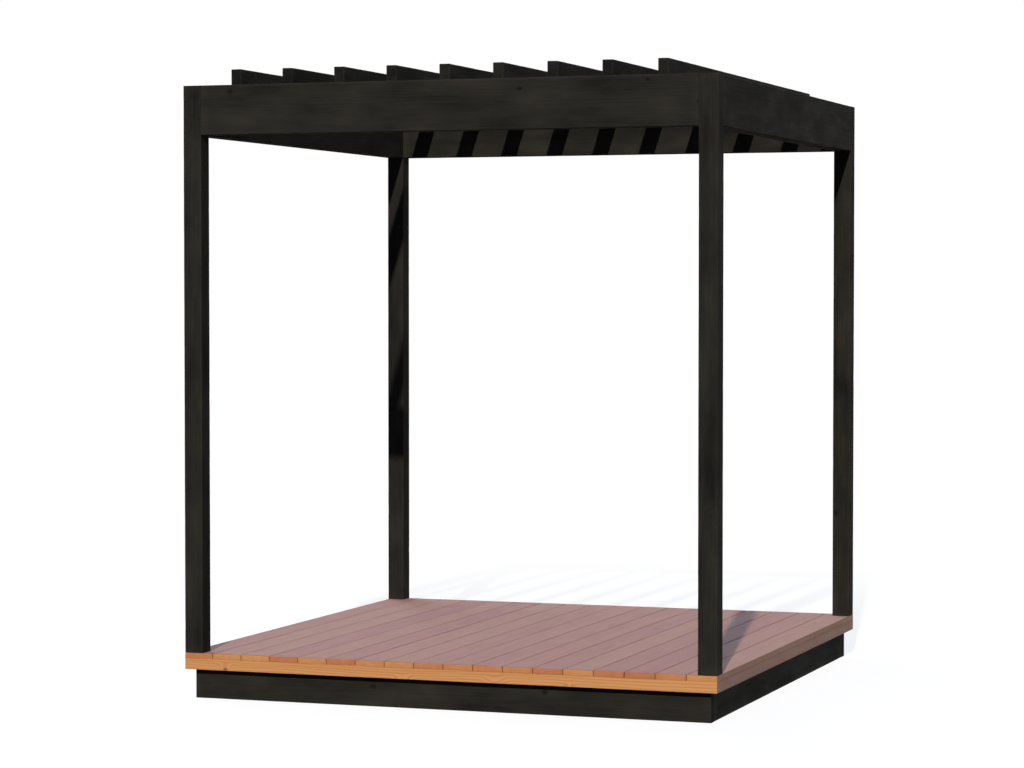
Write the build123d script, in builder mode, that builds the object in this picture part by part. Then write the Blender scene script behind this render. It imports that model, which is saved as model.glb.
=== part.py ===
from build123d import *
import os

os.makedirs("parts", exist_ok=True)

# Deck boards, running front to back
board_count = 18
board_width = 125.0
board_gap = 3.0
board_thickness = 24.0
deck_depth = 2360.0

# Deck frame of flat timbers under the boards
frame_width = 95.0
frame_height = 45.0
joist_count = 3

# Plinth boards on edge, set back under the deck frame, with bearers between them
plinth_height = 123.0
plinth_thickness = 45.0
plinth_inset = 34.0
bearer_count = 2

# Square posts on the corners of the deck
post_side = 80.0
post_length = 2360.0

# Beams on edge between the posts, flush with their outer faces and tops
beam_height = 205.0
beam_thickness = 80.0

# Rafters, notched at both ends to sit over the front and back beams
rafter_pitch = 230.0
rafter_thickness = 45.0
rafter_proud = 65.0
rafter_hang = 55.0
rafter_set_back = 25.0
notch_clearance = 0.3

# Eased arrises of planed timber
timber_arris = 3.0
board_arris = 1.0

# Levels and outlines worked out from the sizes above
board_pitch = board_width + board_gap
deck_width = board_count * board_pitch - board_gap
frame_level = plinth_height
board_level = frame_level + frame_height
deck_level = board_level + board_thickness
beam_top = deck_level + post_length
beam_level = beam_top - beam_height
plinth_width = deck_width - 2 * plinth_inset
plinth_depth = deck_depth - 2 * plinth_inset
# The outer rafters stand about one pitch in from the sides of the deck
rafter_count = round(deck_width / rafter_pitch) - 1


def centres(count, pitch):
    """Places of a row of like pieces, even about zero."""
    return [(i - (count - 1) / 2) * pitch for i in range(count)]


def save(piece, name):
    """Names a finished piece and writes it as one STEP file."""
    piece.label = name
    export_step(piece, f"parts/{name}.step")


def timber(x_size, y_size, height, level, at, grain):
    """A planed timber standing on a level, its long arrises along the grain eased."""
    with BuildPart() as piece:
        with BuildSketch(Plane.XY.offset(level)):
            with Locations(at):
                Rectangle(x_size, y_size)
        extrude(amount=height)
        fillet(piece.edges().filter_by(grain), radius=timber_arris)
    return piece.part


# Plinth: front and back boards run through, side boards butt between them
plinth_end = (plinth_depth - plinth_thickness) / 2
plinth_side = (plinth_width - plinth_thickness) / 2
plinth_span = plinth_depth - 2 * plinth_thickness
for name, y in (("front", -plinth_end), ("back", plinth_end)):
    board = timber(plinth_width, plinth_thickness, plinth_height, 0, (0, y), Axis.X)
    save(board, f"{name}_plinth_board")
for name, x in (("left", -plinth_side), ("right", plinth_side)):
    board = timber(plinth_thickness, plinth_span, plinth_height, 0, (x, 0), Axis.Y)
    save(board, f"{name}_plinth_board")

# Bearers inside the plinth, which carry the joists between its sides
bearer_pitch = 2 * plinth_side / (bearer_count + 1)
for i, x in enumerate(centres(bearer_count, bearer_pitch), start=1):
    bearer = timber(plinth_thickness, plinth_span, plinth_height, 0, (x, 0), Axis.Y)
    save(bearer, f"plinth_bearer_{i}")

# Deck frame: front and back edge boards run through, side boards and joists lie between
frame_end = (deck_depth - frame_width) / 2
frame_side = (deck_width - frame_width) / 2
for name, y in (("front", -frame_end), ("back", frame_end)):
    board = timber(deck_width, frame_width, frame_height, frame_level, (0, y), Axis.X)
    save(board, f"{name}_edge_board")
for name, x in (("left", -frame_side), ("right", frame_side)):
    span = deck_depth - 2 * frame_width
    board = timber(frame_width, span, frame_height, frame_level, (x, 0), Axis.Y)
    save(board, f"{name}_edge_board")
joist_pitch = 2 * frame_end / (joist_count + 1)
for i, y in enumerate(centres(joist_count, joist_pitch), start=1):
    span = deck_width - 2 * frame_width
    joist = timber(span, frame_width, frame_height, frame_level, (0, y), Axis.X)
    save(joist, f"deck_joist_{i}")

# Deck boards, side by side with a drainage gap, their upper arrises rounded
with BuildPart() as deck_boards:
    with BuildSketch(Plane.XY.offset(board_level)):
        with GridLocations(board_pitch, deck_depth, board_count, 1):
            Rectangle(board_width, deck_depth)
    extrude(amount=board_thickness)
    upper_arrises = deck_boards.faces().sort_by(Axis.Z)[-board_count:].edges().filter_by(Axis.Y)
    fillet(upper_arrises, radius=board_arris)
save(deck_boards.part, "deck_boards")

# Posts on the corners of the deck
post_x = (deck_width - post_side) / 2
post_y = (deck_depth - post_side) / 2
for end, y in (("front", -post_y), ("back", post_y)):
    for side, x in (("left", -post_x), ("right", post_x)):
        post = timber(post_side, post_side, post_length, deck_level, (x, y), Axis.Z)
        save(post, f"{end}_{side}_post")

# Beams between the posts
beam_end = (deck_depth - beam_thickness) / 2
beam_side = (deck_width - beam_thickness) / 2
for name, y in (("front", -beam_end), ("back", beam_end)):
    span = deck_width - 2 * post_side
    beam = timber(span, beam_thickness, beam_height, beam_level, (0, y), Axis.X)
    save(beam, f"{name}_beam")
for name, x in (("left", -beam_side), ("right", beam_side)):
    span = deck_depth - 2 * post_side
    beam = timber(beam_thickness, span, beam_height, beam_level, (x, 0), Axis.Y)
    save(beam, f"{name}_beam")

# Rafters: the tongue left above each end notch bears on the beam, and the
# body below the tongues drops between the front and back beams
tongue_reach = deck_depth / 2 - rafter_set_back
body_reach = deck_depth / 2 - beam_thickness - notch_clearance
rafter_top = beam_top + rafter_proud
rafter_underside = beam_top - rafter_hang
for i, x in enumerate(centres(rafter_count, rafter_pitch), start=1):
    with BuildPart() as rafter:
        with BuildSketch(Plane.YZ.offset(x)):
            with BuildLine():
                half = Polyline(
                    (0, rafter_underside),
                    (body_reach, rafter_underside),
                    (body_reach, beam_top),
                    (tongue_reach, beam_top),
                    (tongue_reach, rafter_top),
                    (0, rafter_top),
                )
                mirror(half, about=Plane.YZ)
            make_face()
        extrude(amount=rafter_thickness / 2, both=True)
        long_arrises = rafter.edges().filter_by(Axis.Y).sort_by(SortBy.LENGTH)[-4:]
        fillet(long_arrises, radius=timber_arris)
    save(rafter.part, f"rafter_{i}")
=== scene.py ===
import math
import random
from typing import NamedTuple

import bmesh
import bpy
from bpy.props import FloatProperty, FloatVectorProperty, IntProperty, PointerProperty
from mathutils import Euler, Matrix, Vector, noise


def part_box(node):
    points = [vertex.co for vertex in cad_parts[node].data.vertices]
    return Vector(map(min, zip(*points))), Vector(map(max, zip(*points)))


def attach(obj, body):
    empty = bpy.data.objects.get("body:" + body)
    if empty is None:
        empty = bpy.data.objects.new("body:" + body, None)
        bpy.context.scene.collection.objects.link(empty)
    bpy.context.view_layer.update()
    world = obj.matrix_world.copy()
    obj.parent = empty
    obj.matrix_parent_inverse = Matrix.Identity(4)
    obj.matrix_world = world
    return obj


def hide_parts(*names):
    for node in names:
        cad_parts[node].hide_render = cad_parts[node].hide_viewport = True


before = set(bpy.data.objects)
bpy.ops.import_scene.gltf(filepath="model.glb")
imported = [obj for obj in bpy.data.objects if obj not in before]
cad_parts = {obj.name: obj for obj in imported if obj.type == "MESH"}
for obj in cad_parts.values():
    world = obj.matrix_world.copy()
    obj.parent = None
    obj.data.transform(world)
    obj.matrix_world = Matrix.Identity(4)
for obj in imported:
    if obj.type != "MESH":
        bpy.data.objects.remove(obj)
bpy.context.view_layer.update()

bl_info = {
    "name": "Wooden pergola",
    "version": (1, 0, 0),
    "blender": (4, 5, 0),
    "location": "3D View > Sidebar > Pergola",
    "description": "Black-stained pergola on a raised larch deck, timber by timber",
    "category": "Add Mesh",
}

MM = 0.001
X, Y, Z = range(3)
UPWARD = 1
DOWNWARD = -1
# Sockets of a Mix node that blends colours
FACTOR, COLOUR_A, COLOUR_B, BLENDED = 0, 6, 7, 2

# How far the pith of the log lies from a timber's middle, as (least, most) on the two axes across it
HEART_POST = ((-12 * MM, 12 * MM), (-12 * MM, 12 * MM))
FLAT_SAWN = ((-30 * MM, 30 * MM), (40 * MM, 90 * MM))
ON_EDGE = ((40 * MM, 80 * MM), (-40 * MM, 40 * MM))

# Picks the tone and the figure of every timber
TIMBER_LOT = 2915
# A timber's figure and dents start anywhere in this length of noise, so that no two are alike
NOISE_REACH = 40

# Sides of the pergola and the axis that their boards and beams run along
SIDES = (("front", X), ("back", X), ("left", Y), ("right", Y))

# Camera that matches the edges in the photograph
CAMERA_PLACE = (4.27465, -12.43648, 1.70973)
CAMERA_DOWN = math.radians(1.8258)
CAMERA_TURN = math.radians(19.4606)
CAMERA_LENS = 104.909
CAMERA_SENSOR = 36

# Direction to the key light, which throws the shadows where the photograph has them
KEY_FROM = Vector((0.2, -1.0, 0.643))
# Direction to the soft light behind, which shows the far sides
BACK_FROM = Vector((-1.0, 0.9, 0.3))
FLOOR_REACH = 40.0


def linear(code):
    """Scene-linear colour of an sRGB hex code."""
    channels = [int(code[i : i + 2], 16) / 255 for i in (0, 2, 4)]
    return [c / 12.92 if c <= 0.04045 else ((c + 0.055) / 1.055) ** 2.4 for c in channels]


def distance(name, description, default):
    """A length that a user may change, in metres."""
    return FloatProperty(
        name=name,
        description=description,
        default=default,
        min=0,
        precision=4,
        subtype="DISTANCE",
        unit="LENGTH",
    )


def colour(name, description, code):
    """A colour that a user may change, given as an sRGB hex code."""
    return FloatVectorProperty(
        name=name, description=description, default=linear(code), size=3, min=0, max=1, subtype="COLOR"
    )


def share(name, description, default):
    """A share from 0 to 1 that a user may change."""
    return FloatProperty(name=name, description=description, default=default, min=0, max=1, subtype="FACTOR")


def angle(name, description, degrees):
    """An angle that a user may change."""
    return FloatProperty(
        name=name, description=description, default=math.radians(degrees), subtype="ANGLE", unit="ROTATION"
    )


class TimberSizes(bpy.types.PropertyGroup):
    """Sizes of the timbers' edges and of the figure of their wood."""

    arris: distance("Arris", "Width of the eased edges along the grain", 3 * MM)
    end_arris: distance("End arris", "Width of the eased edges round the sawn ends", 1 * MM)
    dent_share: share("Dents", "Deepest dent in an edge, as a share of its arris", 0.4)
    notch_clearance: distance("Notch clearance", "Gap between a rafter's shoulder and the beam", 0.3 * MM)
    wear: distance("Edge wear", "How far rubbed colour reaches in from an edge", 9 * MM)
    station: distance("Station", "Spacing of the points along a timber", 40 * MM)
    strip: distance("Strip", "Widest strip of points across a timber", 45 * MM)
    ring: distance("Growth ring", "Spacing of the growth rings", 7 * MM)
    fibre: distance("Fibre", "Width of the streaks of fibre", 4 * MM)
    knot: distance("Knot", "Width of a large knot across the grain", 30 * MM)
    knot_spacing: distance("Knot spacing", "Distance between the knots of a log", 120 * MM)


class DeckSizes(bpy.types.PropertyGroup):
    """Sizes of the deck boards and of the screws that hold them."""

    boards: IntProperty(name="Boards", description="Number of deck boards", default=18, min=1)
    gap: distance("Gap", "Drainage gap between two deck boards", 3 * MM)
    arris: distance("Deck arris", "Width of the eased edges of the deck's boards", 1 * MM)
    cup: distance("Cup", "How far a board may have cupped or crowned in drying", 0.7 * MM)
    screw_head: distance("Screw head", "Width of a screw head", 8 * MM)
    screw_rise: distance("Screw rise", "How far a screw head stands over its board", 0.6 * MM)
    screw_inset: distance("Screw inset", "Distance of a screw from the edge of its board", 28 * MM)


class FinishColours(bpy.types.PropertyGroup):
    """Colours of the finishes."""

    stain: colour("Stain", "Black stain where the wood took it up well", "1a1a19")
    stain_thin: colour("Thin stain", "Stain over denser wood, where it stays thin", "35332e")
    stain_knot: colour("Stained knot", "Knots under the stain", "141210")
    larch: colour("Larch", "Oiled earlywood of larch", "d0925a")
    larch_late: colour("Larch rings", "Oiled latewood of larch", "a8623a")
    larch_knot: colour("Larch knot", "Knots in the larch", "6a3a22")
    larch_worn: colour("Worn larch", "Top of the deck, browned by sun and feet", "945345")
    # The nap's sky-blue tint is a painted reflection of the sky, on top of the nap's own sheen
    larch_nap_sky_tint: colour("Larch nap", "Fine fibres that rain and feet have raised on the deck", "a8cdf0")
    # Painted shade: a dark grey laid on the deck's outer left and right sides
    larch_side_shade: colour("Silvered larch", "Sides of the deck, silvered by rain", "655e64")
    spruce: colour("Spruce", "Planed earlywood of spruce", "d9bd91")
    spruce_late: colour("Spruce rings", "Planed latewood of spruce", "b98f5e")
    spruce_knot: colour("Spruce knot", "Knots in the spruce", "7b4a2a")
    steel: colour("Steel", "Stainless steel of the screws", "9c9a95")


class StudioSettings(bpy.types.PropertyGroup):
    """Light and floor of the studio."""

    key: FloatProperty(name="Key light", description="Strength of the key light", default=3.2, min=0)
    lamp_colour: colour("Lamp colour", "Colour of the key light and the back light", "fff6ea")
    key_spread: angle("Key spread", "Angle that the key light fills", 1)
    back: FloatProperty(name="Back light", description="Strength of the light behind", default=1.4, min=0)
    back_spread: angle("Back spread", "Angle that the back light fills", 40)
    fill: FloatProperty(name="Fill light", description="Strength of the light overhead", default=0.5, min=0)
    fill_colour: colour("Fill colour", "Colour of the light from overhead", "8fbcff")
    floor: colour("Floor", "Colour of the floor", "e6e6e4")
    bounce: colour("Bounce", "Colour of the light that the floor sends back up", "505050")
    floor_shadow: share("Floor shadow", "How much of the shadow on the floor shows", 0.3)


class PergolaSettings(bpy.types.PropertyGroup):
    """All sizes and colours of the pergola."""

    timber: PointerProperty(type=TimberSizes)
    deck: PointerProperty(type=DeckSizes)
    finish: PointerProperty(type=FinishColours)
    studio: PointerProperty(type=StudioSettings)


def add(tree, kind, inputs=(), out=0, **settings):
    """Adds a node with its settings, gives each named input a value or a link, and returns one output."""
    node = tree.nodes.new("ShaderNode" + kind)
    for name, value in settings.items():
        setattr(node, name, value)
    for key, value in dict(inputs).items():
        if isinstance(value, bpy.types.NodeSocket):
            tree.links.new(value, node.inputs[key])
        else:
            node.inputs[key].default_value = value
    return node.outputs[out] if node.outputs else None


def new_material(name):
    """An empty material of that name and its node tree, or None for the tree if it is made already."""
    made = bpy.data.materials.get(name)
    if made:
        return made, None
    made = bpy.data.materials.new(name)
    made.use_nodes = True
    made.node_tree.nodes.clear()
    return made, made.node_tree


def opaque(plain_colour):
    """A colour as the four numbers that a node's colour socket takes."""
    return (*plain_colour, 1)


class Figure(NamedTuple):
    """Outputs that draw the figure of sawn softwood, each from 0 to 1."""

    rings: bpy.types.NodeSocket
    fibres: bpy.types.NodeSocket
    streaks: bpy.types.NodeSocket
    blotches: bpy.types.NodeSocket
    knots: bpy.types.NodeSocket


def wood_figure(tree, sizes):
    """Adds the figure of sawn softwood, read from a timber's own grain coordinates in metres."""
    grain = add(tree, "Attribute", attribute_name="grain", out="Vector")

    # Knots are where branches left the log: spots of many sizes, longer than wide, about one in each cell
    knot_stretch = (0.65, 1, 1)
    smallest_share = 0.3
    core_share = 0.35
    swirl_share = 3.5
    swirl_rings = 2.5
    knot_room = add(tree, "VectorMath", {0: grain, 1: knot_stretch}, operation="MULTIPLY")
    knot_scale = 1 / sizes.knot_spacing
    from_knot = add(tree, "TexVoronoi", {"Vector": knot_room, "Scale": knot_scale}, out="Distance")
    luck = add(tree, "SeparateColor", {"Color": from_knot.node.outputs["Color"]}, out="Red")
    knot_size = add(tree, "MapRange", {"Value": luck, "To Min": smallest_share, "To Max": 1})
    away = add(tree, "Math", {0: from_knot, 1: knot_size}, operation="DIVIDE")
    knot_edge = sizes.knot / 2 * knot_scale
    knots = add(
        tree,
        "MapRange",
        {"Value": away, "From Min": knot_edge, "From Max": knot_edge * core_share},
        interpolation_type="SMOOTHSTEP",
    )

    # Rings bend round a knot, and wander a ring or two over about a metre because logs grow crooked
    swirl = add(
        tree,
        "MapRange",
        {"Value": away, "From Min": knot_edge * swirl_share, "From Max": 0, "To Max": swirl_rings},
        interpolation_type="SMOOTHSTEP",
    )
    wander_scale = (1.1, 7, 7)
    wander_width = (0, 30 * MM, 30 * MM)
    wander_middle = (0, -15 * MM, -15 * MM)
    wander_room = add(tree, "VectorMath", {0: grain, 1: wander_scale}, operation="MULTIPLY")
    wander = add(tree, "TexNoise", {"Vector": wander_room, "Scale": 1, "Detail": 2}, out="Color")
    offset = add(tree, "VectorMath", {0: wander, 1: wander_width, 2: wander_middle}, operation="MULTIPLY_ADD")
    bent = add(tree, "VectorMath", {0: grain, 1: offset}, operation="ADD")
    flat = add(tree, "VectorMath", {0: bent, 1: (0, 1, 1)}, operation="MULTIPLY")
    radius = add(tree, "VectorMath", {0: flat}, operation="LENGTH", out="Value")
    turns = add(tree, "Math", {0: radius, 1: 1 / sizes.ring, 2: swirl}, operation="MULTIPLY_ADD")
    year = add(tree, "Math", {0: turns}, operation="FRACT")
    # A ring darkens slowly to its latewood and ends abruptly
    darkening_from = 0.35
    darkest_at = 0.95
    rings = add(
        tree,
        "MapRange",
        {"Value": year, "From Min": darkening_from, "From Max": darkest_at},
        interpolation_type="SMOOTHSTEP",
    )

    # Real fibres are far finer than a pixel, so their streaks are drawn a few millimetres wide. Streaks of
    # older colour run a metre along the grain, and blotches lie a hand's width across it.
    fibre_scale = (5, 1 / sizes.fibre, 1 / sizes.fibre)
    streak_scale = (0.9, 36, 36)
    blotch_scale = (4, 11, 11)
    layers = []
    for scale in (fibre_scale, streak_scale, blotch_scale):
        room = add(tree, "VectorMath", {0: grain, 1: scale}, operation="MULTIPLY")
        layers.append(add(tree, "TexNoise", {"Vector": room, "Scale": 1, "Detail": 3}))
    return Figure(rings, *layers, knots)


def weighed_sum(tree, layer_shares):
    """Sum of the layers of a wood, each times its share."""
    total = 0
    for layer, layer_share in layer_shares:
        total = add(tree, "Math", {0: layer, 1: layer_share, 2: total}, operation="MULTIPLY_ADD")
    return total


def black_stain(settings, name, gloss):
    """Planed spruce under one thin coat of black stain, with a given gloss."""
    # The stain soaks into the soft earlywood and the ends and stays thin over denser wood, so rings,
    # fibres and blotches show as faint changes of tone in a matt black, knots are darkest, and
    # handled edges are rubbed a little paler and smoother.
    made, tree = new_material(name)
    if tree is None:
        return made
    finish = settings.finish
    figure = wood_figure(tree, settings.timber)
    wear = add(tree, "Attribute", attribute_name="wear", out="Fac")
    ends = add(tree, "Attribute", attribute_name="end_grain", out="Fac")
    tone = add(tree, "Attribute", attribute_name="tone", out="Fac")
    thinning_shares = (
        (tone, 0.12),
        (figure.blotches, 1.5),
        (figure.fibres, 0.35),
        (figure.rings, 0.1),
        (wear, 0.25),
        (ends, -0.35),
    )
    thinness = weighed_sum(tree, thinning_shares)
    thin = add(tree, "MapRange", {"Value": thinness, "From Min": 0.48, "From Max": 1.43})
    stained = add(
        tree,
        "Mix",
        {FACTOR: thin, COLOUR_A: opaque(finish.stain), COLOUR_B: opaque(finish.stain_thin)},
        out=BLENDED,
        data_type="RGBA",
    )
    knot_share = add(tree, "Math", {0: figure.knots, 1: 0.75}, operation="MULTIPLY")
    knotted = add(
        tree,
        "Mix",
        {FACTOR: knot_share, COLOUR_A: stained, COLOUR_B: opaque(finish.stain_knot)},
        out=BLENDED,
        data_type="RGBA",
    )
    rough = add(tree, "MapRange", {"Value": thin, "To Min": 0.88, "To Max": 0.72})
    relief = weighed_sum(tree, ((figure.fibres, 1), (figure.rings, 0.5), (figure.knots, 0.4)))
    bump = add(tree, "Bump", {"Strength": 0.35, "Distance": 0.8 * MM, "Height": relief})
    shader = add(
        tree,
        "BsdfPrincipled",
        {"Base Color": knotted, "Roughness": rough, "Normal": bump, "IOR": 1.5, "Specular IOR Level": gloss},
    )
    add(tree, "OutputMaterial", {"Surface": shader})
    return made


def black_stained_spruce(settings):
    """Black-stained spruce of the faces that do not point down."""
    # Sun and rain have given the coat a faint sheen, which shows pale at a low angle.
    return black_stain(settings, "black_stain_on_planed_spruce", gloss=0.03)


def underside_shade_spruce(settings):
    """Black-stained spruce of the faces that point down on the beams and rafters, as painted shade."""
    # The same stain with its faint sheen taken away, so that the undersides read darker: painted shade.
    return black_stain(settings, "dusty_black_stain_on_planed_spruce", gloss=0.002)


def shaded_deck_sides(tree, oiled, finish):
    """Larch with painted shade: the deck's left and right outer sides are darkened and greyed."""
    side_shade_depth = 2 * MM
    most_side_shade = 0.55
    deck_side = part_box("deck_boards")[1].x
    place = add(tree, "NewGeometry", out="Position")
    across = add(tree, "SeparateXYZ", {"Vector": place}, out="X")
    from_middle = add(tree, "Math", {0: across}, operation="ABSOLUTE")
    # Painted shade: towards the deck's outer sides the colour turns to a dark grey, up to a little over half
    side_shade_share = add(
        tree,
        "MapRange",
        {
            "Value": from_middle,
            "From Min": deck_side - side_shade_depth,
            "From Max": deck_side,
            "To Max": most_side_shade,
        },
    )
    return add(
        tree,
        "Mix",
        {FACTOR: side_shade_share, COLOUR_A: oiled, COLOUR_B: opaque(finish.larch_side_shade)},
        out=BLENDED,
        data_type="RGBA",
    )


def walked_on(tree, oiled, finish):
    """Larch that sun and feet have browned."""
    worn_share = 0.6
    return add(
        tree,
        "Mix",
        {FACTOR: worn_share, COLOUR_A: oiled, COLOUR_B: opaque(finish.larch_worn)},
        out=BLENDED,
        data_type="RGBA",
    )


def larch(settings, name, weathered, smoothest, nap):
    """Planed larch under oil, weathered by the function given."""
    # Larch has strong reddish latewood in a warm earlywood. Oil deepens both and leaves a low sheen, which
    # is duller where edges are rubbed.
    rubbed_duller = 0.18
    made, tree = new_material(name)
    if tree is None:
        return made
    finish = settings.finish
    figure = wood_figure(tree, settings.timber)
    wear = add(tree, "Attribute", attribute_name="wear", out="Fac")
    tone = add(tree, "Attribute", attribute_name="tone", out="Fac")
    ends = add(tree, "Attribute", attribute_name="end_grain", out="Fac")
    darkening_shares = (
        (tone, 0.25),
        (figure.rings, 0.45),
        (figure.fibres, 0.5),
        (figure.streaks, 0.6),
        (ends, 0.2),
    )
    lateness = weighed_sum(tree, darkening_shares)
    late = add(tree, "MapRange", {"Value": lateness, "From Min": 0.45, "From Max": 1.35})
    figured = add(
        tree,
        "Mix",
        {FACTOR: late, COLOUR_A: opaque(finish.larch), COLOUR_B: opaque(finish.larch_late)},
        out=BLENDED,
        data_type="RGBA",
    )
    # A darker board is a redder one too
    same_hue = 0.5
    redder = -0.008
    hue = add(tree, "Math", {0: tone, 1: redder, 2: same_hue}, operation="MULTIPLY_ADD")
    oiled = add(tree, "HueSaturation", {"Hue": hue, "Color": figured})
    knot_share = add(tree, "Math", {0: figure.knots, 1: 0.8}, operation="MULTIPLY")
    knotted = add(
        tree,
        "Mix",
        {
            FACTOR: knot_share,
            COLOUR_A: weathered(tree, oiled, finish),
            COLOUR_B: opaque(finish.larch_knot),
        },
        out=BLENDED,
        data_type="RGBA",
    )
    rubbed = weighed_sum(tree, ((figure.blotches, 1), (wear, 0.3)))
    rough = add(
        tree,
        "MapRange",
        {
            "Value": rubbed,
            "From Min": 0.3,
            "From Max": 0.9,
            "To Min": smoothest,
            "To Max": smoothest + rubbed_duller,
        },
    )
    relief = weighed_sum(tree, ((figure.fibres, 1), (figure.rings, 0.6)))
    bump = add(tree, "Bump", {"Strength": 0.3, "Distance": 0.8 * MM, "Height": relief})
    shader = add(
        tree,
        "BsdfPrincipled",
        {
            "Base Color": knotted,
            "Roughness": rough,
            "Normal": bump,
            "IOR": 1.5,
            "Sheen Weight": nap,
            "Sheen Roughness": 0.35,
            # The sheen's sky-blue tint is a painted reflection of the sky
            "Sheen Tint": opaque(finish.larch_nap_sky_tint),
        },
    )
    add(tree, "OutputMaterial", {"Surface": shader})
    return made


def oiled_larch(settings):
    """Oiled larch of the edge boards and of the deck boards' sides and ends."""
    # Still fresh enough to be warm and smooth; the deck's outer sides carry painted shade.
    return larch(settings, "oil_on_planed_larch", shaded_deck_sides, smoothest=0.62, nap=0)


def worn_larch(settings):
    """Oiled larch of the walked-on side of the deck boards."""
    # Rain and feet have worn the oil dull and raised a fine silvery nap, which shows pale at a low angle; the
    # nap's sky-blue tint is a painted reflection of the sky.
    return larch(settings, "worn_oil_on_planed_larch", walked_on, smoothest=0.72, nap=0.47)


def planed_spruce(settings):
    """Plain planed spruce of the hidden joists and bearers."""
    # Untreated, so it stays pale and matt, with narrow honey-coloured rings and brown knots.
    made, tree = new_material("bare_planed_spruce")
    if tree is None:
        return made
    finish = settings.finish
    figure = wood_figure(tree, settings.timber)
    tone = add(tree, "Attribute", attribute_name="tone", out="Fac")
    darkening_shares = ((tone, 0.1), (figure.rings, 0.6), (figure.fibres, 0.4), (figure.streaks, 0.3))
    lateness = weighed_sum(tree, darkening_shares)
    late = add(tree, "MapRange", {"Value": lateness, "From Min": 0.3, "From Max": 1.2})
    figured = add(
        tree,
        "Mix",
        {FACTOR: late, COLOUR_A: opaque(finish.spruce), COLOUR_B: opaque(finish.spruce_late)},
        out=BLENDED,
        data_type="RGBA",
    )
    knotted = add(
        tree,
        "Mix",
        {FACTOR: figure.knots, COLOUR_A: figured, COLOUR_B: opaque(finish.spruce_knot)},
        out=BLENDED,
        data_type="RGBA",
    )
    rough = add(tree, "MapRange", {"Value": figure.blotches, "To Min": 0.6, "To Max": 0.8})
    bump = add(tree, "Bump", {"Strength": 0.3, "Distance": 0.6 * MM, "Height": figure.fibres})
    shader = add(
        tree, "BsdfPrincipled", {"Base Color": knotted, "Roughness": rough, "Normal": bump, "IOR": 1.5}
    )
    add(tree, "OutputMaterial", {"Surface": shader})
    return made


def stainless_steel(settings):
    """Turned stainless steel of the screw heads."""
    # Heads are turned and tumbled, so they are a soft grey metal with a fine uneven polish.
    made, tree = new_material("turned_stainless_steel")
    if tree is None:
        return made
    place = add(tree, "TexCoord", out="Object")
    grit = 1.5 * MM
    polish = add(tree, "TexNoise", {"Vector": place, "Scale": 1 / grit, "Detail": 2})
    rough = add(tree, "MapRange", {"Value": polish, "To Min": 0.35, "To Max": 0.55})
    bump = add(tree, "Bump", {"Strength": 0.1, "Distance": 0.05 * MM, "Height": polish})
    shader = add(
        tree,
        "BsdfPrincipled",
        {"Base Color": opaque(settings.finish.steel), "Metallic": 1, "Roughness": rough, "Normal": bump},
    )
    add(tree, "OutputMaterial", {"Surface": shader})
    return made


def seen_directly(tree):
    """1 for light that reaches the camera straight, by a mirror or through glass, and 0 for other light."""
    path = tree.nodes.new("ShaderNodeLightPath").outputs
    mirrored = add(
        tree, "Math", {0: path["Is Glossy Ray"], 1: path["Is Transmission Ray"]}, operation="MAXIMUM"
    )
    return add(tree, "Math", {0: path["Is Camera Ray"], 1: mirrored}, operation="MAXIMUM")


def white_paper(studio):
    """White paper floor of the studio."""
    # Matt and even. Near the object it is pale paper that keeps the shadow, lifted so far that it is white
    # where it is lit, and further out it fades to the white of the backdrop.
    made, tree = new_material("white_paper")
    if tree is None:
        return made
    shadow_reach = 2.0
    white_from = 6.0
    lit_level = 0.55
    place = add(tree, "NewGeometry", out="Position")
    away = add(tree, "VectorMath", {0: place}, operation="LENGTH", out="Value")
    shadow_share = add(
        tree,
        "MapRange",
        {
            "Value": away,
            "From Min": white_from,
            "From Max": shadow_reach,
            "To Max": studio.floor_shadow,
        },
        interpolation_type="SMOOTHSTEP",
    )
    # Under the deck no light is left, so there is no lift there
    dark_within = 0.93
    light_beyond = 0.95
    reach = [1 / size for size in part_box("deck_boards")[1].xy]
    measured = add(tree, "VectorMath", {0: place, 1: (*reach, 0)}, operation="MULTIPLY")
    shares = add(tree, "VectorMath", {0: measured}, operation="ABSOLUTE")
    x_share = add(tree, "SeparateXYZ", {"Vector": shares}, out="X")
    outward = add(tree, "Math", {0: x_share, 1: x_share.node.outputs["Y"]}, operation="MAXIMUM")
    open_floor = add(tree, "MapRange", {"Value": outward, "From Min": dark_within, "From Max": light_beyond})
    lifted = add(tree, "Math", {0: shadow_share, 1: -lit_level, 2: 1}, operation="MULTIPLY_ADD")
    lift = add(tree, "Math", {0: lifted, 1: open_floor}, operation="MULTIPLY")
    tint = add(tree, "VectorMath", {0: studio.floor, "Scale": shadow_share}, operation="SCALE")
    paper = add(tree, "BsdfDiffuse", {"Color": tint})
    white = add(tree, "Emission", {"Color": (1, 1, 1, 1), "Strength": lift})
    shown = add(tree, "AddShader", {0: paper, 1: white})
    bounce = add(tree, "BsdfDiffuse", {"Color": opaque(studio.bounce)})
    floor = add(tree, "MixShader", {0: seen_directly(tree), 1: bounce, 2: shown})
    add(tree, "OutputMaterial", {"Surface": floor})
    return made


# The material that each slot of the record is drawn with
FINISHES = {
    "black_stained_spruce": black_stained_spruce,
    "oiled_larch": oiled_larch,
    "planed_spruce": planed_spruce,
}


class Timber(NamedTuple):
    """One piece of wood: the slot of its finish, the corners of its stock, the axis of its grain, where the
    pith of the log lay and the width of its long arrises."""

    name: str
    node: str
    slot: str
    lo: Vector
    hi: Vector
    grain: int
    pith: tuple
    arris: float


def block(lo, hi):
    """Squared stock between two corners."""
    mesh = bmesh.new()
    bmesh.ops.create_cube(mesh, size=1, matrix=Matrix.LocRotScale((lo + hi) / 2, None, hi - lo))
    return mesh


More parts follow.
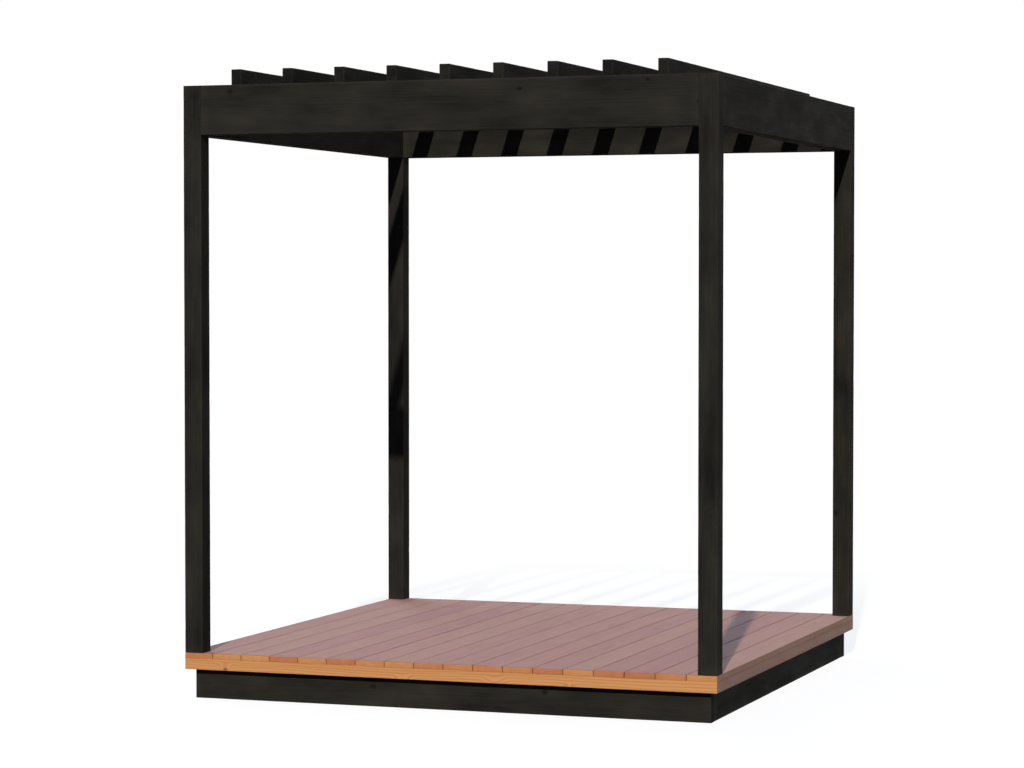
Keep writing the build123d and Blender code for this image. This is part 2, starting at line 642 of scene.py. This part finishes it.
def notched_stock(lo, hi, seat, shoulder):
    """Rafter stock: over the seat it runs its full length, and below it only between the shoulders."""
    outline = (
        (-shoulder, lo.z),
        (shoulder, lo.z),
        (shoulder, seat),
        (hi.y, seat),
        (hi.y, hi.z),
        (lo.y, hi.z),
        (lo.y, seat),
        (-shoulder, seat),
    )
    mesh = bmesh.new()
    side = mesh.faces.new([mesh.verts.new((lo.x, y, z)) for y, z in outline])
    grown = bmesh.ops.extrude_face_region(mesh, geom=[side])
    far_side = [g for g in grown["geom"] if isinstance(g, bmesh.types.BMVert)]
    bmesh.ops.translate(mesh, verts=far_side, vec=(hi.x - lo.x, 0, 0))
    bmesh.ops.recalc_face_normals(mesh, faces=mesh.faces)
    return mesh


def ease_arrises(mesh, timber, sizes):
    """Rounds the long arrises, then takes the sharpness off the sawn ends."""
    straight = 0.99
    sharpest_left = math.radians(45)

    def runs_along(edge):
        way = edge.verts[1].co - edge.verts[0].co
        return abs(way.normalized()[timber.grain]) > straight

    def rounds_an_end(edge):
        return [abs(face.normal[timber.grain]) > straight for face in edge.link_faces].count(True) == 1

    for chosen, width, segments in ((runs_along, timber.arris, 3), (rounds_an_end, sizes.end_arris, 1)):
        arrises = [
            edge
            for edge in mesh.edges
            if chosen(edge) and edge.is_manifold and edge.calc_face_angle_signed() > sharpest_left
        ]
        bmesh.ops.bevel(mesh, geom=arrises, offset=width, segments=segments, profile=0.5, affect="EDGES")


def cut_at(mesh, axis, places):
    """Adds a ring of points across a mesh at each place on an axis."""
    way = Vector((axis == X, axis == Y, axis == Z))
    snap = 0.01 * MM
    for place in places:
        everything = mesh.verts[:] + mesh.edges[:] + mesh.faces[:]
        bmesh.ops.bisect_plane(mesh, geom=everything, plane_co=way * place, plane_no=way, dist=snap)


def between(low, high, widest):
    """Places that divide a length evenly into parts no wider than given."""
    count = math.ceil((high - low) / widest)
    return [low + (high - low) * i / count for i in range(1, count)]


def divide(mesh, timber, sizes):
    """Divides a timber into stations along the grain, and across it into edge strips and wider ones."""
    for axis in (X, Y, Z):
        low, high = timber.lo[axis], timber.hi[axis]
        if axis == timber.grain:
            cut_at(mesh, axis, between(low, high, sizes.station))
        else:
            cut_at(mesh, axis, (low + sizes.wear, high - sizes.wear))
            cut_at(mesh, axis, between(low + sizes.wear, high - sizes.wear, sizes.strip))


def mark_grain(mesh, timber, chance):
    """Gives each point its place in the log and its timber's tone, and each face whether it is end grain."""
    across = [axis for axis in (X, Y, Z) if axis != timber.grain]
    middle = (timber.lo + timber.hi) / 2
    end_on = 0.9
    tone = chance.uniform(-1, 1)
    pith = [chance.uniform(least, most) for least, most in timber.pith]
    shift = chance.uniform(0, NOISE_REACH)
    flow = mesh.verts.layers.float_vector.new("grain")
    toned = mesh.verts.layers.float.new("tone")
    for point in mesh.verts:
        sides = [point.co[axis] - middle[axis] + off for axis, off in zip(across, pith)]
        point[flow] = Vector((point.co[timber.grain] - timber.lo[timber.grain] + shift, *sides))
        point[toned] = tone
    ends = mesh.faces.layers.float.new("end_grain")
    mesh.normal_update()
    for face in mesh.faces:
        face[ends] = float(abs(face.normal[timber.grain]) > end_on)
        face.smooth = True


def wear_edges(mesh, timber, chance, sizes):
    """Marks how much each point near an edge is rubbed, and dents the edges a little here and there."""
    middle = (timber.lo + timber.hi) / 2
    dent_spacing = 55 * MM
    shift = Vector((chance.uniform(0, NOISE_REACH), 0, 0))
    worn = mesh.verts.layers.float.new("wear")
    for point in mesh.verts:
        place = point.co.copy()
        insets = [min(place[axis] - timber.lo[axis], timber.hi[axis] - place[axis]) for axis in (X, Y, Z)]
        from_edge = sorted(insets)[1]
        rub = max(0, 1 - from_edge / sizes.wear)
        point[worn] = rub
        inward = middle - place
        inward[timber.grain] = 0
        knock = max(0, noise.noise(place / dent_spacing + shift))
        point.co += inward.normalized() * sizes.dent_share * timber.arris * rub * knock


def worked(timber, sizes, stock=None):
    """Mesh of a timber, worked from its stock, which is squared unless another is given."""
    mesh = stock or block(timber.lo, timber.hi)
    chance = random.Random(f"{timber.name} {TIMBER_LOT}")
    ease_arrises(mesh, timber, sizes)
    divide(mesh, timber, sizes)
    mark_grain(mesh, timber, chance)
    wear_edges(mesh, timber, chance, sizes)
    return mesh


def as_object(mesh, name, materials):
    """Turns a mesh into an object of the scene."""
    data = bpy.data.meshes.new(name)
    mesh.to_mesh(data)
    mesh.free()
    for material in materials:
        data.materials.append(material)
    made = bpy.data.objects.new(name, data)
    bpy.context.scene.collection.objects.link(made)
    return made


def fit_timber(mesh, timber, settings, other_finish=None, facing=UPWARD):
    """Puts a worked timber in the place of its CAD node, with another finish on one side if it has one."""
    steepest = math.radians(60)
    materials = [FINISHES[timber.slot](settings)]
    if other_finish:
        materials.append(other_finish)
        mesh.normal_update()
        for face in mesh.faces:
            face.material_index = int(face.normal.z * facing > math.cos(steepest))
    piece = as_object(mesh, timber.name, materials)
    piece.modifiers.new("flat_faces", "WEIGHTED_NORMAL").weight = 100
    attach(piece, "root")
    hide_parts(timber.node)


def whole_timber(node, slot, grain, pith, arris):
    """A timber that fills the box of one CAD node."""
    return Timber(f"{node}_timber", node, slot, *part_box(node), grain, pith, arris)


def numbered(prefix):
    """CAD nodes whose names are this prefix and a number, in order."""
    return sorted(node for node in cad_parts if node.startswith(prefix))


def board_boxes(deck):
    """Lowest and highest corners of the deck boards, from left to right."""
    lo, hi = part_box("deck_boards")
    pitch = (hi.x - lo.x + deck.gap) / deck.boards
    boxes = []
    for i in range(deck.boards):
        left = lo.x + i * pitch
        boxes.append((Vector((left, lo.y, lo.z)), Vector((left + pitch - deck.gap, hi.y, hi.z))))
    return boxes


def board_drop(number, across, deck):
    """How far the top of a cupped or crowned board has sunk, at a share of the way from its middle."""
    crown = random.Random(f"crown of board {number}").uniform(-deck.cup, deck.cup)
    return crown * across**2 if crown > 0 else -crown * (1 - across**2)


def cup_board(mesh, number, lo, hi, deck):
    """Cups or crowns the top of a board and leaves its underside flat on the joists."""
    for point in mesh.verts:
        across = (2 * point.co.x - lo.x - hi.x) / (hi.x - lo.x)
        upper_share = (point.co.z - lo.z) / (hi.z - lo.z)
        point.co.z -= board_drop(number, across, deck) * upper_share


def add_screw_head(mesh, place, turn, deck):
    """Adds a low domed head with a six-lobed drive, closed underneath."""
    points = 24
    lobes = 6
    lobe_share = 0.14
    sunk_share = 0.3
    crown_share = 0.78
    drive_share = 0.42
    radius = deck.screw_head / 2
    rise = deck.screw_rise
    # Each ring's radius, height and lobes, from under the rim to the floor of the drive
    rings = (
        (radius, -sunk_share * rise, 0),
        (radius * crown_share, rise, 0),
        (radius * drive_share, rise, lobe_share),
        (radius * drive_share, 0, lobe_share),
    )
    loops = []
    for reach, height, lobe in rings:
        loop = []
        for i in range(points):
            around = math.tau * i / points
            out = reach * (1 + lobe * math.cos(lobes * around))
            spot = Vector((out * math.cos(around + turn), out * math.sin(around + turn), height))
            loop.append(mesh.verts.new(place + spot))
        loops.append(loop)
    for outer, inner in zip(loops, loops[1:]):
        for i in range(points):
            mesh.faces.new((outer[i - 1], outer[i], inner[i], inner[i - 1]))
    mesh.faces.new(loops[-1])
    mesh.faces.new(loops[0][::-1])


def soft_light(studio):
    """World of the studio: white to look at, and lit by a soft light from overhead."""
    world = bpy.data.worlds.new("studio_light")
    world.use_nodes = True
    tree = world.node_tree
    tree.nodes.clear()
    # The soft light is strongest overhead and fades to the horizon
    way = add(tree, "TexCoord", out="Generated")
    height = add(tree, "SeparateXYZ", {"Vector": way}, out="Z")
    strength = add(tree, "Math", {0: height, 1: studio.fill}, operation="MULTIPLY", use_clamp=True)
    fill = add(tree, "Background", {"Color": opaque(studio.fill_colour), "Strength": strength})
    white = add(tree, "Background", {"Color": (1, 1, 1, 1), "Strength": 1})
    shown = add(tree, "MixShader", {0: seen_directly(tree), 1: fill, 2: white})
    add(tree, "OutputWorld", {"Surface": shown})
    return world


def hang_lamps(scene, studio):
    """Adds the key light and the soft light behind."""
    lamps = (
        ("key_light", KEY_FROM, studio.key, studio.key_spread),
        ("back_light", BACK_FROM, studio.back, studio.back_spread),
    )
    for name, direction, power, spread in lamps:
        lamp = bpy.data.lights.new(name, "SUN")
        lamp.energy = power
        lamp.color = studio.lamp_colour
        lamp.angle = spread
        light = bpy.data.objects.new(name, lamp)
        light.rotation_euler = direction.to_track_quat("Z", "Y").to_euler()
        scene.collection.objects.link(light)


def set_camera(scene):
    """Adds the camera that matches the photograph."""
    lens = bpy.data.cameras.new("photo_camera")
    lens.sensor_width = CAMERA_SENSOR
    lens.lens = CAMERA_LENS
    camera = bpy.data.objects.new("photo_camera", lens)
    camera.location = CAMERA_PLACE
    camera.rotation_euler = Euler((math.pi / 2 - CAMERA_DOWN, 0, CAMERA_TURN))
    scene.collection.objects.link(camera)
    scene.camera = camera


class PERGOLA_OT_posts(bpy.types.Operator):
    """Four corner posts, sawn round the heart of the log"""

    bl_idname = "pergola.posts"
    bl_label = "Posts"

    def execute(self, context):
        settings = context.scene.pergola
        for end in ("front", "back"):
            for side in ("left", "right"):
                node = f"{end}_{side}_post"
                timber = whole_timber(node, "black_stained_spruce", Z, HEART_POST, settings.timber.arris)
                fit_timber(worked(timber, settings.timber), timber, settings)
        return {"FINISHED"}


class PERGOLA_OT_beams(bpy.types.Operator):
    """Four beams on edge between the posts"""

    bl_idname = "pergola.beams"
    bl_label = "Beams"

    def execute(self, context):
        settings = context.scene.pergola
        for side, grain in SIDES:
            node = f"{side}_beam"
            timber = whole_timber(node, "black_stained_spruce", grain, ON_EDGE, settings.timber.arris)
            mesh = worked(timber, settings.timber)
            # Faces that point down take the matt copy of the stain, as painted shade
            fit_timber(mesh, timber, settings, underside_shade_spruce(settings), DOWNWARD)
        return {"FINISHED"}


class PERGOLA_OT_rafters(bpy.types.Operator):
    """Rafters notched over the front and back beams"""

    bl_idname = "pergola.rafters"
    bl_label = "Rafters"

    def execute(self, context):
        settings = context.scene.pergola
        beam_lo, beam_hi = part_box("back_beam")
        seat = beam_hi.z
        shoulder = beam_lo.y - settings.timber.notch_clearance
        for node in numbered("rafter_"):
            timber = whole_timber(node, "black_stained_spruce", Y, ON_EDGE, settings.timber.arris)
            stock = notched_stock(timber.lo, timber.hi, seat, shoulder)
            mesh = worked(timber, settings.timber, stock)
            # Faces that point down take the matt copy of the stain, as painted shade
            fit_timber(mesh, timber, settings, underside_shade_spruce(settings), DOWNWARD)
        return {"FINISHED"}


class PERGOLA_OT_plinth(bpy.types.Operator):
    """Plinth boards on edge under the deck"""

    bl_idname = "pergola.plinth"
    bl_label = "Plinth"

    def execute(self, context):
        settings = context.scene.pergola
        for side, grain in SIDES:
            node = f"{side}_plinth_board"
            timber = whole_timber(node, "black_stained_spruce", grain, ON_EDGE, settings.timber.arris)
            fit_timber(worked(timber, settings.timber), timber, settings)
        return {"FINISHED"}


class PERGOLA_OT_deck_frame(bpy.types.Operator):
    """Larch edge boards round the deck"""

    bl_idname = "pergola.deck_frame"
    bl_label = "Edge boards"

    def execute(self, context):
        settings = context.scene.pergola
        for side, grain in SIDES:
            node = f"{side}_edge_board"
            timber = whole_timber(node, "oiled_larch", grain, FLAT_SAWN, settings.deck.arris)
            fit_timber(worked(timber, settings.timber), timber, settings)
        return {"FINISHED"}


class PERGOLA_OT_deck_boards(bpy.types.Operator):
    """Deck boards, each cupped or crowned a little in drying"""

    bl_idname = "pergola.deck_boards"
    bl_label = "Deck boards"

    def execute(self, context):
        settings = context.scene.pergola
        deck = settings.deck
        for number, (lo, hi) in enumerate(board_boxes(deck), start=1):
            name = f"deck_board_{number}"
            timber = Timber(name, "deck_boards", "oiled_larch", lo, hi, Y, FLAT_SAWN, deck.arris)
            mesh = worked(timber, settings.timber)
            cup_board(mesh, number, lo, hi, deck)
            fit_timber(mesh, timber, settings, worn_larch(settings))
        return {"FINISHED"}


class PERGOLA_OT_deck_screws(bpy.types.Operator):
    """Stainless screws, two in each board over each timber that carries it"""

    bl_idname = "pergola.deck_screws"
    bl_label = "Deck screws"

    def execute(self, context):
        settings = context.scene.pergola
        deck = settings.deck
        posts = [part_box(node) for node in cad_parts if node.endswith("_post")]
        chance = random.Random("deck screws")
        mesh = bmesh.new()
        for carrier in ("front_edge_board", *numbered("deck_joist_"), "back_edge_board"):
            row = sum(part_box(carrier), Vector()).y / 2
            for number, (lo, hi) in enumerate(board_boxes(deck), start=1):
                across = 1 - 2 * deck.screw_inset / (hi.x - lo.x)
                height = hi.z - board_drop(number, across, deck)
                for x in (lo.x + deck.screw_inset, hi.x - deck.screw_inset):
                    turn = chance.uniform(0, math.tau)
                    if not any(low.x < x < high.x and low.y < row < high.y for low, high in posts):
                        add_screw_head(mesh, Vector((x, row, height)), turn, deck)
        screws = as_object(mesh, "deck_screws", [stainless_steel(settings)])
        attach(screws, "root")
        return {"FINISHED"}


class PERGOLA_OT_joists(bpy.types.Operator):
    """Joists and bearers out of sight under the deck"""

    bl_idname = "pergola.joists"
    bl_label = "Joists and bearers"

    def execute(self, context):
        settings = context.scene.pergola
        for prefix, grain in (("deck_joist_", X), ("plinth_bearer_", Y)):
            for node in numbered(prefix):
                timber = whole_timber(node, "planed_spruce", grain, FLAT_SAWN, settings.timber.arris)
                fit_timber(worked(timber, settings.timber), timber, settings)
        return {"FINISHED"}


class PERGOLA_OT_stage(bpy.types.Operator):
    """Floor, light and camera of the studio"""

    bl_idname = "pergola.stage"
    bl_label = "Studio"

    def execute(self, context):
        scene = context.scene
        studio = scene.pergola.studio
        scene.view_settings.view_transform = "Standard"
        mesh = bmesh.new()
        bmesh.ops.create_circle(mesh, cap_ends=True, segments=96, radius=FLOOR_REACH)
        as_object(mesh, "studio_floor", [white_paper(studio)])
        scene.world = soft_light(studio)
        hang_lamps(scene, studio)
        set_camera(scene)
        return {"FINISHED"}


class PERGOLA_PT_panel(bpy.types.Panel):
    """Lists the pieces of the pergola and the studio"""

    bl_idname = "PERGOLA_PT_panel"
    bl_label = "Wooden pergola"
    bl_space_type = "VIEW_3D"
    bl_region_type = "UI"
    bl_category = "Pergola"

    def draw(self, context):
        settings = context.scene.pergola
        for operator in OPERATORS:
            self.layout.operator(operator.bl_idname)
        for group in (settings.timber, settings.deck, settings.finish, settings.studio):
            box = self.layout.box()
            for name in group.__annotations__:
                box.prop(group, name)


OPERATORS = (
    PERGOLA_OT_posts,
    PERGOLA_OT_beams,
    PERGOLA_OT_rafters,
    PERGOLA_OT_plinth,
    PERGOLA_OT_deck_frame,
    PERGOLA_OT_deck_boards,
    PERGOLA_OT_deck_screws,
    PERGOLA_OT_joists,
    PERGOLA_OT_stage,
)
GROUPS = (TimberSizes, DeckSizes, FinishColours, StudioSettings, PergolaSettings)


def register():
    for cls in (*GROUPS, *OPERATORS, PERGOLA_PT_panel):
        bpy.utils.register_class(cls)
    bpy.types.Scene.pergola = PointerProperty(type=PergolaSettings)


def unregister():
    del bpy.types.Scene.pergola
    for cls in reversed((*GROUPS, *OPERATORS, PERGOLA_PT_panel)):
        bpy.utils.unregister_class(cls)


def main():
    register()
    bpy.ops.pergola.posts()
    bpy.ops.pergola.beams()
    bpy.ops.pergola.rafters()
    bpy.ops.pergola.plinth()
    bpy.ops.pergola.deck_frame()
    bpy.ops.pergola.deck_boards()
    bpy.ops.pergola.deck_screws()
    bpy.ops.pergola.joists()
    bpy.ops.pergola.stage()


if __name__ == "__main__":
    main()
